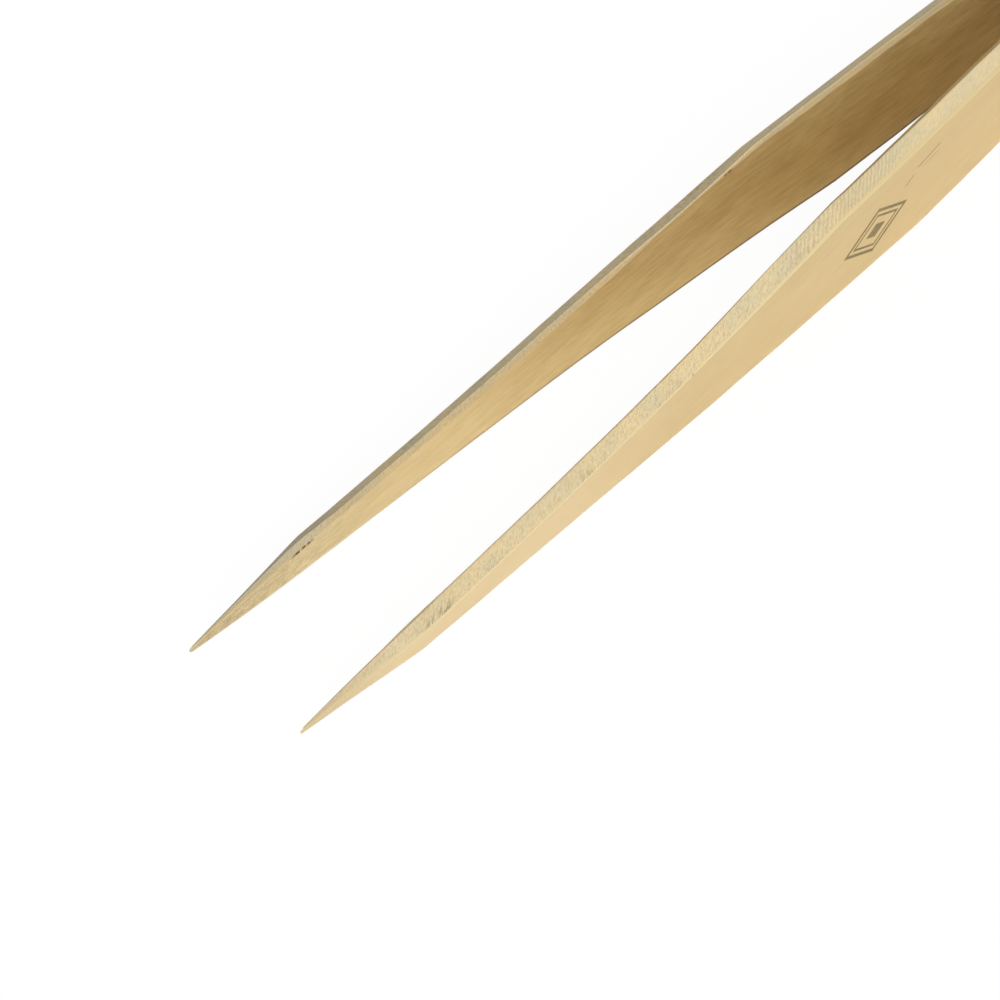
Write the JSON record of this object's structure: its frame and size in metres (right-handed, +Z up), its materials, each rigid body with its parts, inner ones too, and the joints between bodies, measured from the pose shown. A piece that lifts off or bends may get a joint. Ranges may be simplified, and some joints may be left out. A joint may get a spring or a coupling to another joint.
{
  "type": "stamp tongs",
  "caption": "Fine-pointed brass stamp tongs: springy bowed arms joined at a rounded heel, with ground sides and tapering needle points.",
  "frame": {"origin": "middle of the tongs' length, on the plane between the arms, at the level of their lowest edge", "axes": "+X from the points to the heel; +Y from the left arm to the right arm, as seen from the heel looking at the points; +Z up across the arms' width"},
  "size_m": [0.12, 0.0096, 0.01],
  "materials": {
    "arm_brass": "satin, brushed lengthwise, with ground sides",
    "braze_filler": "satin, as melted"
  },
  "bodies": {
    "heel": {"right_arm_heel": "arm_brass", "left_arm_heel": "arm_brass", "heel_braze": "braze_filler"},
    "right_blade": {"right_arm_blade": "arm_brass"},
    "left_blade": {"left_arm_blade": "arm_brass"}
  },
  "joints": [
    {"name": "right_arm_flex", "type": "hinge", "parent": "heel", "child": "right_blade", "pos_m": [0.03, 0.00087, 0.0052], "axis": [0, 0, 1], "range_deg": [0, 2.56], "stiffness_Nm_per_rad": 3},
    {"name": "left_arm_flex", "type": "hinge", "parent": "heel", "child": "left_blade", "pos_m": [0.03, -0.00087, 0.0052], "axis": [0, 0, -1], "range_deg": [0, 2.56], "stiffness_Nm_per_rad": 3}
  ],
  "couplings": [
    {"joint": "left_arm_flex", "follows": "right_arm_flex", "ratio": 1}
  ]
}
